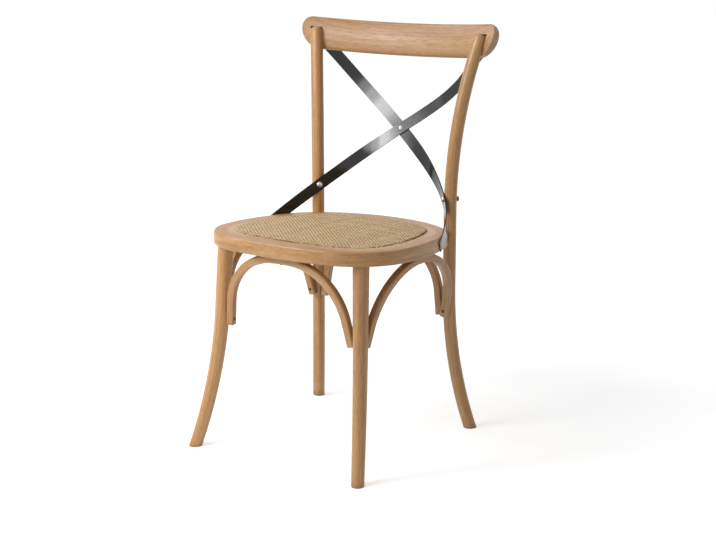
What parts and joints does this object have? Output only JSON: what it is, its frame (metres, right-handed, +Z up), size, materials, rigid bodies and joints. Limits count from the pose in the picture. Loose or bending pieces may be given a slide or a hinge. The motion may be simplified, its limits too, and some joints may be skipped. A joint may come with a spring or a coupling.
{
  "type": "cross back chair",
  "caption": "Dining chair with splayed round legs, bent arches, a woven panel seat, a curved crest rail and a back of two crossed flat metal straps.",
  "frame": {"origin": "on the floor under the middle of the chair's outer box", "axes": "+Z up, the front faces -Y, +X to the right as seen from the front"},
  "size_m": [0.494, 0.5129, 0.8795],
  "materials": {
    "oak": "satin",
    "board": "matte",
    "rattan": "matte",
    "black_steel": "gloss",
    "bright_steel": "satin",
    "dark_steel": "satin"
  },
  "bodies": {
    "root": {"seat_frame": "oak", "seat_board": "board", "rattan_panel": "rattan", "front_leg_left": "oak", "front_leg_right": "oak", "rear_post_left": "oak", "rear_post_right": "oak", "crest_rail": "oak", "front_arch": "oak", "rear_arch": "oak", "left_arch": "oak", "right_arch": "oak", "cross_strap_front": "black_steel", "cross_strap_rear": "black_steel", "cross_rivet": "bright_steel", "strap_post_bolts": "bright_steel", "strap_post_nuts": "bright_steel", "strap_seat_screws": "bright_steel", "strap_crest_screws": "bright_steel", "crest_post_screws": "dark_steel", "post_seat_bolts": "dark_steel", "arch_leg_screws": "dark_steel", "arch_seat_screws": "dark_steel", "board_screws": "dark_steel"}
  },
  "joints": []
}
